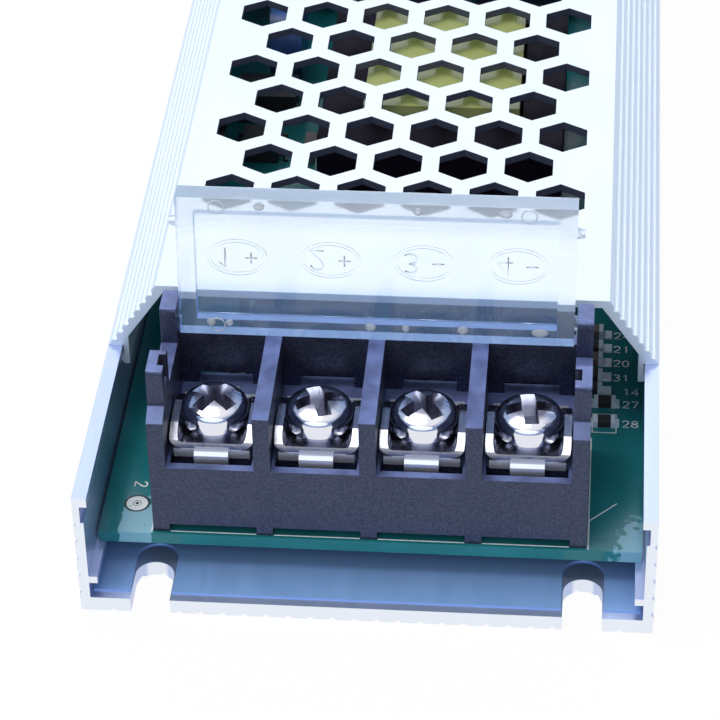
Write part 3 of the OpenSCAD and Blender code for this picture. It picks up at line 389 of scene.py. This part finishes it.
def sleeve():
    """Shrink sleeve of the capacitors: dark violet and slightly wrinkled."""
    coat = {"Coat Weight": 0.2, "Coat Roughness": 0.15}
    m = surface("dark_sleeve", (0.022, 0.016, 0.04), 0.4, sockets=coat)
    wrinkle = noise(m, 1.6, 4.0)
    mottle(m, wrinkle, 0.4, 0.7, (0.018, 0.012, 0.034), (0.03, 0.021, 0.052))
    relief(m, wrinkle, 0.05, 0.4)
    return m


def tape():
    """Yellow polyester tape: overlapping layers seen as bands across the height."""
    coat = {"Coat Weight": 0.4, "Coat Roughness": 0.2}
    m = surface("yellow_tape", (0.5, 0.56, 0.24), 0.32, sockets=coat)
    bands = noise(m, 1.2, 3.0, (30, 30, 1))
    mottle(m, bands, 0.35, 0.65, (0.53, 0.6, 0.27), (0.42, 0.45, 0.16))
    relief(m, bands, 0.06, 0.5)
    return m


def ferrite():
    """Ferrite cores: dull and nearly black, with specks."""
    m = surface("ferrite", (0.008, 0.006, 0.015), 0.6, sockets={"Specular IOR Level": 0.2})
    speck = noise(m, 0.35, 5.0)
    mottle(m, speck, 0.45, 0.7, (0.006, 0.004, 0.012), (0.014, 0.01, 0.026))
    relief(m, speck, 0.03, 0.5)
    return m


def enamel():
    """Enamelled copper wire."""
    coat = {"Coat Weight": 0.5, "Coat Roughness": 0.15}
    m = surface("enamelled_wire", (0.16, 0.09, 0.035), 0.3, metal=0.5, sockets=coat)
    tone = noise(m, 1.5, 3.0)
    mottle(m, tone, 0.35, 0.65, (0.18, 0.11, 0.045), (0.1, 0.06, 0.025))
    return m


def coated(name, colour, rough, size):
    """Dipped or moulded packages: a slightly uneven tone and skin."""
    m = surface(name, colour, rough)
    tone = noise(m, size, 4.0)
    mottle(m, tone, 0.35, 0.65, colour, tuple(c * 0.72 for c in colour))
    relief(m, tone, 0.03, 0.5)
    return m


def ink():
    """White print, slightly worn."""
    white = (0.9, 0.92, 0.93)
    m = surface("white_ink", white, 0.5)
    wear = noise(m, 0.3, 3.0)
    mottle(m, wear, 0.5, 0.75, white, (0.6, 0.72, 0.7))
    return m


def solder():
    """Dull solder on the chips' ends."""
    m = surface("solder", (0.74, 0.86, 0.98), 0.3, metal=0.1)
    ripple = noise(m, 0.3, 3.0)
    relief(m, ripple, 0.02, 0.6)
    return m


# What each of the record's material slots looks like
LOOKS = {
    "channel_aluminium": sawn_aluminium(),
    "cover_aluminium": punched_aluminium(),
    "insulating_film": film(),
    "board_laminate": laminate(),
    "black_moulding": moulding(),
    "tinned_contact": tinned(),
    "nickel_clamp": nickel("nickel_clamp", (0.36, 0.37, 0.43), 0.2),
    "nickel_screw": screw_nickel(),
    "clear_plastic": flap_plastic(),
    "ferrite": ferrite(),
    "yellow_tape": tape(),
    "dark_sleeve": sleeve(),
    "enamelled_wire": enamel(),
    "black_epoxy": coated("black_epoxy", (0.035, 0.035, 0.04), 0.45, 0.5),
    "bar_aluminium": aluminium("bar_aluminium", (0.8, 0.82, 0.86), 0.32),
    "yellow_box": coated("yellow_box", (0.6, 0.42, 0.05), 0.35, 3.0),
    "fuse_glass": clear("fuse_glass", (0.95, 0.98, 0.97), 0.02),
    "nickel_cap": nickel("nickel_cap", (0.7, 0.69, 0.68), 0.22),
    "green_epoxy": coated("green_epoxy", (0.03, 0.16, 0.07), 0.4, 1.5),
    "blue_epoxy": coated("blue_epoxy", (0.03, 0.12, 0.4), 0.35, 1.5),
    "chip_black": coated("chip_black", (0.03, 0.03, 0.035), 0.4, 0.3),
    "chip_tan": coated("chip_tan", (0.2, 0.18, 0.17), 0.45, 0.3),
}
INK = ink()
SOLDER = solder()
GLINT_WHITE = glint_white()


def dress_nodes():
    for part in frame["record"]["subparts"]:
        mesh = NODES[part["node"]].data
        mesh.materials.clear()
        mesh.materials.append(LOOKS[part["material_slot"]])


def soften(node):
    """Rounds a solid's sharp edges by a small radius, as moulding leaves them."""
    o = NODES[node]
    weld = o.modifiers.new("weld", "WELD")
    weld.merge_threshold = 0.002 * MM
    bevel = o.modifiers.new("edges", "BEVEL")
    bevel.width = 0.2 * MM
    bevel.segments = 3
    bevel.limit_method = "ANGLE"
    bevel.angle_limit = math.radians(35)
    bevel.harden_normals = True


# Frames in which small pieces are drawn

HALF_TURN = Matrix.Rotation(math.pi, 4, "Z")


def on_board(side):
    """On the board's top at an end: X across, Y inwards from the end."""
    end = Matrix.Translation(Vector((0, -HALF_L, BOARD_TOP)) * MM)
    return end if side == "output" else HALF_TURN @ end


def on_flap(side):
    """On a flap's hinge line at rest, with the flap reaching along -Y; the output flap stands open."""
    pivot = Matrix.Translation(Vector((0, -PIVOT_Y, PIVOT_Z)) * MM)
    if side == "output":
        return pivot @ Matrix.Rotation(math.radians(-FLAP_OPEN), 4, "X")
    return HALF_TURN @ pivot


# Shapes of small pieces


def add_piece(name, mesh, look, body):
    o = bpy.data.objects.new(name, mesh)
    bpy.context.scene.collection.objects.link(o)
    mesh.materials.append(look)
    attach(o, body)


def joined(name, bm, smooth=False):
    mesh = bpy.data.meshes.new(name)
    bm.normal_update()
    bm.to_mesh(mesh)
    bm.free()
    for face in mesh.polygons:
        face.use_smooth = smooth
    return mesh


def vertex(bm, matrix, x, y, z):
    """A vertex at a place in mm in a frame."""
    return bm.verts.new(matrix @ (Vector((x, y, z)) * MM))


def bridge(bm, a, b):
    """Quads between two rings of vertices."""
    n = len(a)
    for k in range(n):
        bm.faces.new((a[k], a[(k + 1) % n], b[(k + 1) % n], b[k]))


def round_turn(n):
    return [2 * math.pi * k / n for k in range(n)]


def circle(x, y, r):
    return [(x + r * math.cos(t), y + r * math.sin(t)) for t in round_turn(28)]


def rectangle(x0, y0, x1, y1):
    return [(x0, y0), (x1, y0), (x1, y1), (x0, y1)]


def add_prism(bm, outline, height, matrix):
    """A prism on a counter-clockwise outline in mm, with its top edges slightly drawn in."""
    n = len(outline)
    centre = Vector((sum(p[0] for p in outline) / n, sum(p[1] for p in outline) / n))
    inset = min(0.04, height * 0.5)
    low = [vertex(bm, matrix, x, y, 0) for x, y in outline]
    rim = [vertex(bm, matrix, x, y, height * 0.7) for x, y in outline]
    tops = []
    for x, y in outline:
        away = Vector((x, y)) - centre
        away -= away.normalized() * inset
        tops.append(vertex(bm, matrix, centre.x + away.x, centre.y + away.y, height))
    bridge(bm, low, rim)
    bridge(bm, rim, tops)
    bm.faces.new(tops)
    bm.faces.new(list(reversed(low)))


def add_stroke(bm, points, radius, rise, matrix, closed=False):
    """A rounded line along points in mm on the XY plane, standing rise above it."""
    rings = []
    n = len(points)
    for i, p in enumerate(points):
        before = Vector(points[i - 1] if i or closed else p)
        after = Vector(points[(i + 1) % n] if i < n - 1 or closed else p)
        ahead = (after - before).normalized()
        across = Vector((-ahead.y, ahead.x))
        ring = []
        for t in round_turn(8):
            flat = Vector(p) + across * radius * math.cos(t)
            ring.append(vertex(bm, matrix, flat.x, flat.y, rise * math.sin(t)))
        rings.append(ring)
    for i in range(n if closed else n - 1):
        bridge(bm, rings[i], rings[(i + 1) % n])
    if not closed:
        bm.faces.new(list(reversed(rings[0])))
        bm.faces.new(rings[-1])


def add_dome(bm, x, y, rx, ry, h, matrix):
    """A low rounded pip on the XY plane."""
    steps = 4
    rows = []
    for i in range(steps):
        rise = math.pi / 2 * i / steps
        wide = math.cos(rise)
        row = []
        for t in round_turn(16):
            px = x + rx * wide * math.cos(t)
            py = y + ry * wide * math.sin(t)
            row.append(vertex(bm, matrix, px, py, h * math.sin(rise)))
        rows.append(row)
    top = vertex(bm, matrix, x, y, h)
    for a, b in zip(rows, rows[1:]):
        bridge(bm, a, b)
    last = rows[-1]
    for k, v in enumerate(last):
        bm.faces.new((v, last[(k + 1) % len(last)], top))
    bm.faces.new(list(reversed(rows[0])))


# Strokes of the numbers and signs, for a height of 1
GLYPHS = {
    "0": [[(0.3, 1), (0.08, 0.85), (0, 0.5), (0.08, 0.15), (0.3, 0),
           (0.52, 0.15), (0.6, 0.5), (0.52, 0.85), (0.3, 1)]],
    "1": [[(0.1, 0.78), (0.35, 1), (0.35, 0)]],
    "2": [[(0, 0.76), (0.08, 0.93), (0.3, 1), (0.52, 0.93),
           (0.58, 0.74), (0.48, 0.52), (0, 0), (0.6, 0)]],
    "3": [[(0.02, 0.9), (0.27, 1), (0.5, 0.92), (0.56, 0.75), (0.44, 0.57), (0.22, 0.53)],
          [(0.22, 0.53), (0.48, 0.46), (0.6, 0.27), (0.5, 0.07), (0.26, 0), (0, 0.1)]],
    "4": [[(0.45, 0), (0.45, 1), (0, 0.3), (0.65, 0.3)]],
    "7": [[(0, 1), (0.6, 1), (0.22, 0)]],
    "8": [[(0.3, 0.53), (0.06, 0.66), (0.06, 0.87), (0.3, 1), (0.54, 0.87), (0.54, 0.66), (0.3, 0.53),
           (0, 0.36), (0, 0.14), (0.3, 0), (0.6, 0.14), (0.6, 0.36), (0.3, 0.53)]],
    "+": [[(0, 0.5), (0.7, 0.5)], [(0.35, 0.15), (0.35, 0.85)]],
    "-": [[(0, 0.5), (0.7, 0.5)]],
}


def add_glyph(bm, sign, x, y, height, radius, matrix):
    """A number or sign, its middle at (x, y)."""
    for line in GLYPHS[sign]:
        points = [(x + (a - 0.3) * height, y + (b - 0.5) * height) for a, b in line]
        add_stroke(bm, points, radius, MARK_H, matrix)


# Marks and pips on the flaps


def flap_marks():
    """Raised numbers and signs on the flaps' outer faces; the input flap has numbers only."""
    mid_y, number_h, sign_h, apart, line_r = -5.5, 2.0, 1.6, 1.2, 0.08
    for side, signs in (("output", "++--"), ("input", "   ")):
        bm = bmesh.new()
        face = on_flap(side) @ Matrix.Translation((0, 0, FLAP_FACE * MM))
        for k, sign in enumerate(signs):
            x = (k - (len(signs) - 1) / 2) * OVAL_PITCH
            shift = 0.0 if sign == " " else apart
            add_glyph(bm, str(k + 1), x - shift, mid_y, number_h, line_r, face)
            if shift:
                add_glyph(bm, sign, x + shift, mid_y, sign_h, line_r, face)
        name = side + "_flap_marks"
        add_piece(name, joined(name, bm, True), LOOKS["clear_plastic"], side + "_flap_body")


# Places across the flap and radii of the pips on its free rim and its hinge rim, and places of the rings
FLAP_PIPS = {
    "output": {
        "free": [(-10.4, 0.5), (3.8, 0.42), (11.6, 0.6)],
        "hinge": [(-15.1, 0.42), (-13.4, 0.36), (-0.5, 0.5), (2.7, 0.34), (7.9, 0.5), (14.9, 0.8)],
        "rings": [(-14.3, 11.7), (-14.5, -0.6), (13.7, 11.7)],
    },
    "input": {
        "free": [(-9.8, 0.45), (4.1, 0.45)],
        "hinge": [(-9.5, 0.42), (0.6, 0.45), (9.6, 0.5)],
        "rings": [(-11.2, 11.7), (11.2, 11.7)],
    },
}
PIP_REACH = {"free": 11.9, "hinge": -0.3}


def flap_pips():
    """Gate pips and ejector rings on the rims' inner faces."""
    pip_h, most_half = 0.16, 0.42
    ring_r, line_r, ring_h = 0.68, 0.07, 0.06
    inner = Matrix.Translation((0, 0, FLAP_RIM * MM)) @ Matrix.Rotation(math.pi, 4, "X")
    for side, spots in FLAP_PIPS.items():
        bm = bmesh.new()
        face = on_flap(side) @ inner
        for rim, reach in PIP_REACH.items():
            for x, r in spots[rim]:
                add_dome(bm, x, reach, r, min(r, most_half), pip_h, face)
        for x, y in spots["rings"]:
            add_stroke(bm, circle(x, y, ring_r), line_r, ring_h, face, closed=True)
        name = side + "_flap_pips"
        # The pips and rings are drawn white as painted highlights.
        add_piece(name, joined(name, bm, True), GLINT_WHITE, side + "_flap_body")


# Marks and solder on the board, with places measured inwards from its end of the case

# Printed number of each chip in the row beside the output block, and its distance from the end
CHIPS = [("28", 23.6), ("27", 26.6), ("14", 28.6), ("31", 30.8), ("20", 33.1), ("21", 35.4), ("24", 37.6)]
TALL_CHIPS = (4, 6)

# Middle of the test pad
PAD = (-21.8, 9.1)

# Where the print and the copper area begin beside a block, and where its printed sides begin and end
PRINT_GAP = 0.18
COPPER_GAP = 0.23
PRINT_FROM, PRINT_TO = 5.15, 21.3


def chip_x(i):
    """The first two chips of the row stand beside the block's outline, the rest in line with it."""
    return OUTPUT_HW + (1.35 if i < 2 else 0)


def side_lines(bm, half_width, top):
    """The printed lines along a block's two sides."""
    for s in (-1, 1):
        x = s * (half_width + PRINT_GAP)
        add_stroke(bm, [(x, PRINT_FROM), (x, PRINT_TO)], PRINT_R, MARK_H, top)


def chip_numbers(bm, top):
    """The numbers right of the chips, a little farther out at the first three."""
    far_x, near_x, digit_pitch, digit_h, line_r = 23.15, 22.2, 0.85, 1.0, 0.08
    for i, (label, y) in enumerate(CHIPS):
        x = far_x if i < 3 else near_x
        for k, digit in enumerate(label):
            add_glyph(bm, digit, x + k * digit_pitch, y, digit_h, line_r, top)


def board_print():
    """White print on the board: block outlines, chip numbers and a frame round the first chip."""
    bm = bmesh.new()
    top = on_board("output")
    front_y, front_half = 5.4, 3.95
    for k in range(4):
        x = (k - 1.5) * POLE_PITCH
        add_stroke(bm, [(x - front_half, front_y), (x + front_half, front_y)], PRINT_R, MARK_H, top)
    side_lines(bm, OUTPUT_HW, top)
    add_stroke(bm, [(OUTPUT_HW + 0.25, 9.2), (OUTPUT_HW + 2.7, 11.75)], 0.06, MARK_H, top)
    chip_frame = rectangle(OUTPUT_HW + COPPER_GAP, 22.2, OUTPUT_HW + 2.5, 25.0)
    add_stroke(bm, chip_frame, PRINT_R, MARK_H, top, closed=True)
    chip_numbers(bm, top)
    beside_pad = Matrix.Translation(Vector((PAD[0], PAD[1] + 2.8, 0)) * MM)
    add_glyph(bm, "2", 0, 0, 1.15, 0.09, top @ beside_pad @ Matrix.Rotation(-math.pi / 2, 4, "Z"))
    rear = on_board("input")
    side_lines(bm, INPUT_HW, rear)
    add_glyph(bm, "1", -20.5, 11.9, 1.5, 0.1, rear)
    add_piece("board_print", joined("board_print", bm), INK, "case")


def test_pad():
    """A pale round pad between two dark rings, with its hole."""
    pad_r, outer_r, inner_r, hole_r = 1.0, 1.12, 0.38, 0.17
    top = on_board("output")
    bm = bmesh.new()
    add_prism(bm, circle(*PAD, pad_r), 0.03, top)
    add_piece("test_pad", joined("test_pad", bm), INK, "case")
    bm = bmesh.new()
    add_stroke(bm, circle(*PAD, outer_r), 0.09, 0.03, top, closed=True)
    add_stroke(bm, circle(*PAD, inner_r), 0.05, 0.04, top, closed=True)
    add_prism(bm, circle(*PAD, hole_r), 0.05, top)
    add_piece("test_pad_hole", joined("test_pad_hole", bm), LOOKS["chip_black"], "case")


def chip_ends():
    """Soldered ends of the chip parts beside the output block, and the solder that runs out from them."""
    bm = bmesh.new()
    top = on_board("output")
    for i, (_, y) in enumerate(CHIPS):
        end_h = 0.95 if i in TALL_CHIPS else 0.64
        run_to = 1.42 if i < 2 else 1.95
        for s in (-1, 1):
            for near, far, half, height in ((0.62, 1.06, 0.66, end_h), (1.0, run_to, 0.6, 0.2)):
                x0, x1 = sorted((chip_x(i) + s * near, chip_x(i) + s * far))
                add_prism(bm, rectangle(x0, y - half, x1, y + half), height, top)
    add_piece("chip_ends", joined("chip_ends", bm), SOLDER, "case")


def copper_pour():
    """The slight step of a copper area under the mask beside the output block, with a slanted end."""
    bm = bmesh.new()
    x0, x1 = OUTPUT_HW + COPPER_GAP, OUTPUT_HW + 2.65
    y0, slant_y, y1 = 9.35, 11.9, 21.2
    add_prism(bm, [(x0, y0), (x1, slant_y), (x1, y1), (x0, y1)], 0.035, on_board("output"))
    add_piece("copper_pour", joined("copper_pour", bm), LOOKS["board_laminate"], "case")


# Studio, in metres


def lamp(name, place, target, size, watts):
    """A soft oval lamp, aimed at a target."""
    data = bpy.data.lights.new(name, "AREA")
    data.shape = "ELLIPSE"
    data.size, data.size_y = size
    data.energy = watts
    o = bpy.data.objects.new(name, data)
    bpy.context.scene.collection.objects.link(o)
    o.location = place
    o.rotation_euler = (Vector(target) - o.location).to_track_quat("-Z", "Y").to_euler()
    o.visible_transmission = False


def sky():
    """Plain light for the object; mirrors and glass see a bright ceiling over dimmer, cold walls."""
    world = bpy.data.worlds.new("studio")
    bpy.context.scene.world = world
    world.use_nodes = True
    nodes, links = world.node_tree.nodes, world.node_tree.links
    base = nodes["Background"]
    base.inputs["Color"].default_value = (0.8, 0.9, 1.0, 1.0)
    base.inputs["Strength"].default_value = 0.48
    white = nodes.new("ShaderNodeBackground")
    white.inputs["Color"].default_value = (1.0, 1.0, 1.0, 1.0)
    room = nodes.new("ShaderNodeBackground")
    ramp = nodes.new("ShaderNodeValToRGB")
    ramp.color_ramp.elements[0].color = (0.7, 0.78, 0.95, 1.0)
    ramp.color_ramp.elements[1].color = (1.0, 1.0, 1.0, 1.0)
    for place, colour in ((0.18, (0.26, 0.34, 0.52)), (0.7, (0.28, 0.37, 0.58)), (0.92, (1.0, 1.0, 1.0))):
        ramp.color_ramp.elements.new(place).color = (*colour, 1.0)
    links.new(along(world, "Generated", "Z"), ramp.inputs["Fac"])
    links.new(ramp.outputs["Color"], room.inputs["Color"])
    mirrored = ray_share(world, ["Is Glossy Ray", "Is Transmission Ray"])
    light = blend_shaders(world, mirrored, base.outputs[0], room.outputs[0])
    seen = blend_shaders(world, ray_share(world, ["Is Camera Ray"]), light, white.outputs[0])
    links.new(seen, nodes["World Output"].inputs["Surface"])


def floor_white():
    """A floor as white as the background that keeps a little of the object's shadow."""
    m = surface("floor_white", (0.92, 0.93, 0.95), 0.8)
    glow = m.node_tree.nodes.new("ShaderNodeEmission")
    seen = ray_share(m, ["Is Camera Ray", "Is Glossy Ray", "Is Transmission Ray"])
    look = blend_shaders(m, span(m, seen, 0, 1, 0, 0.96), shader_of(m).outputs[0], glow.outputs[0])
    m.node_tree.links.new(look, m.node_tree.nodes["Material Output"].inputs["Surface"])
    return m


def floor():
    bm = bmesh.new()
    bmesh.ops.create_grid(bm, x_segments=2, y_segments=2, size=3.0)
    o = bpy.data.objects.new("floor", joined("floor", bm))
    bpy.context.scene.collection.objects.link(o)
    o.data.materials.append(floor_white())


def camera():
    """The photograph's view, solved from the terminals' pitch; angles in radians, place in mm."""
    elevation, yaw, roll = 0.650238, -0.0925689, -0.0200277
    place = Vector((18.6285, -295.3804, 182.8341))
    data = bpy.data.cameras.new("camera")
    data.sensor_width = 36.0
    data.lens = 149.2837
    data.clip_start = 0.01
    o = bpy.data.objects.new("camera", data)
    bpy.context.scene.collection.objects.link(o)
    level = math.cos(elevation)
    forward = Vector((math.sin(yaw) * level, math.cos(yaw) * level, -math.sin(elevation)))
    right = Vector((math.cos(yaw), -math.sin(yaw), 0))
    up = right.cross(forward)
    side = math.cos(roll) * right + math.sin(roll) * up
    top = -math.sin(roll) * right + math.cos(roll) * up
    turn = Matrix((side, top, -forward)).transposed().to_4x4()
    o.matrix_world = Matrix.Translation(place * MM) @ turn
    bpy.context.scene.camera = o


dress_nodes()
flap_marks()
flap_pips()
board_print()
test_pad()
chip_ends()
copper_pour()
for block in ("output_block", "input_block"):
    soften(block)
sky()
floor()
lamp("key", (-0.22, -0.05, 0.75), (0, -0.05, 0), (0.55, 0.55), 3.2)
lamp("front", (-0.06, -0.6, 0.42), (0, -0.06, 0.01), (0.9, 0.5), 1.0)
lamp("back", (0.05, 0.5, 0.45), (0, -0.02, 0.01), (0.7, 0.3), 0.8)
camera()

bpy.context.scene.view_settings.view_transform = "Standard"
